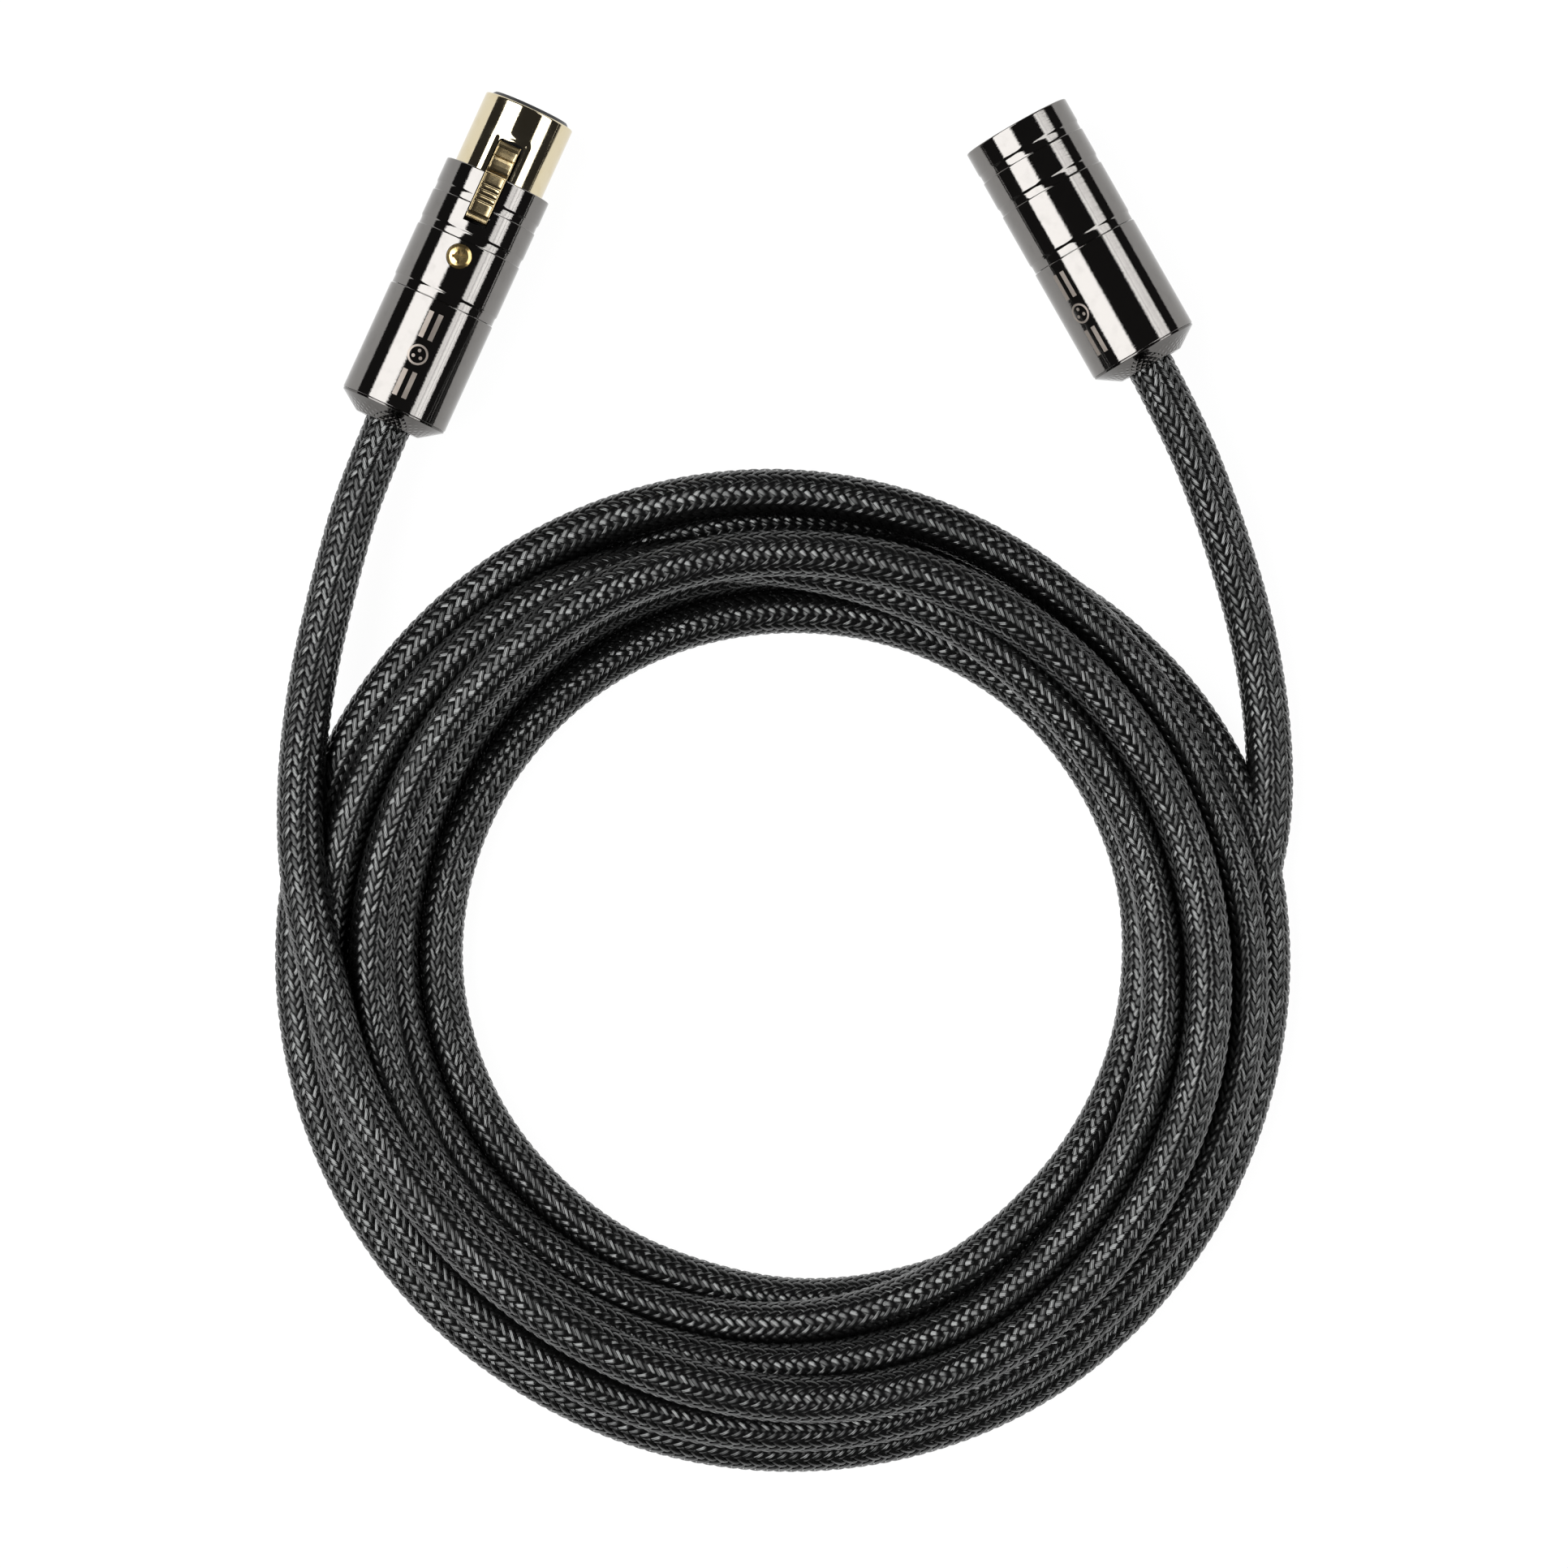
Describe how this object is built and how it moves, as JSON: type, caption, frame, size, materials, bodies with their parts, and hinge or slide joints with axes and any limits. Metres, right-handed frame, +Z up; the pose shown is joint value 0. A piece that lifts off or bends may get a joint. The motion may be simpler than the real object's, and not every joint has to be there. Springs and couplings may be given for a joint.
{
  "type": "coiled microphone cable",
  "caption": "Coiled braided microphone cable with a latching female and a male three-pole round metal connector.",
  "frame": {"origin": "on the floor under the middle of the whole object", "axes": "+Z up; +Y from the coil towards the two connectors; +X to the right, where the male connector lies"},
  "size_m": [0.1711, 0.2315, 0.027],
  "materials": {
    "dark_chrome": "mirror-bright black nickel plating",
    "gold_plate": "polished gold plating",
    "black_plastic": "moulded, fine matt",
    "braid": "braided monofilament sleeve, black with a grey sheen",
    "steel": "bright spring steel",
    "white_plastic": "moulded collet",
    "red_wire": "wire insulation",
    "blue_wire": "wire insulation",
    "bare_wire": "tinned copper drain wire"
  },
  "bodies": {
    "cable": {"coil": "braid", "female_collet": "white_plastic", "female_contact_1": "gold_plate", "female_contact_2": "gold_plate", "female_contact_3": "gold_plate", "female_end_cap": "dark_chrome", "female_ground_ring": "gold_plate", "female_housing": "dark_chrome", "female_insert": "black_plastic", "female_latch_pin": "steel", "female_latch_spring": "steel", "female_lead_1": "bare_wire", "female_lead_2": "red_wire", "female_lead_3": "blue_wire", "female_nose": "gold_plate", "female_screw": "gold_plate", "female_sleeve": "dark_chrome", "female_tail": "braid", "male_collet": "white_plastic", "male_contact_1": "gold_plate", "male_contact_2": "gold_plate", "male_contact_3": "gold_plate", "male_end_cap": "dark_chrome", "male_ground_ring": "gold_plate", "male_housing": "dark_chrome", "male_insert": "black_plastic", "male_lead_1": "bare_wire", "male_lead_2": "red_wire", "male_lead_3": "blue_wire", "male_screw": "gold_plate", "male_sleeve": "dark_chrome", "male_tail": "braid"},
    "latch": {"female_latch": "gold_plate"}
  },
  "joints": [
    {"name": "latch_press", "type": "hinge", "parent": "cable", "child": "latch", "pos_m": [-0.05049, 0.09425, 0.0176], "axis": [-0.91, 0.4147, 0], "range_deg": [0, 5], "stiffness_Nm_per_rad": 0.2, "springref_deg": -5.73, "deforming": ["female_latch_spring"]}
  ]
}
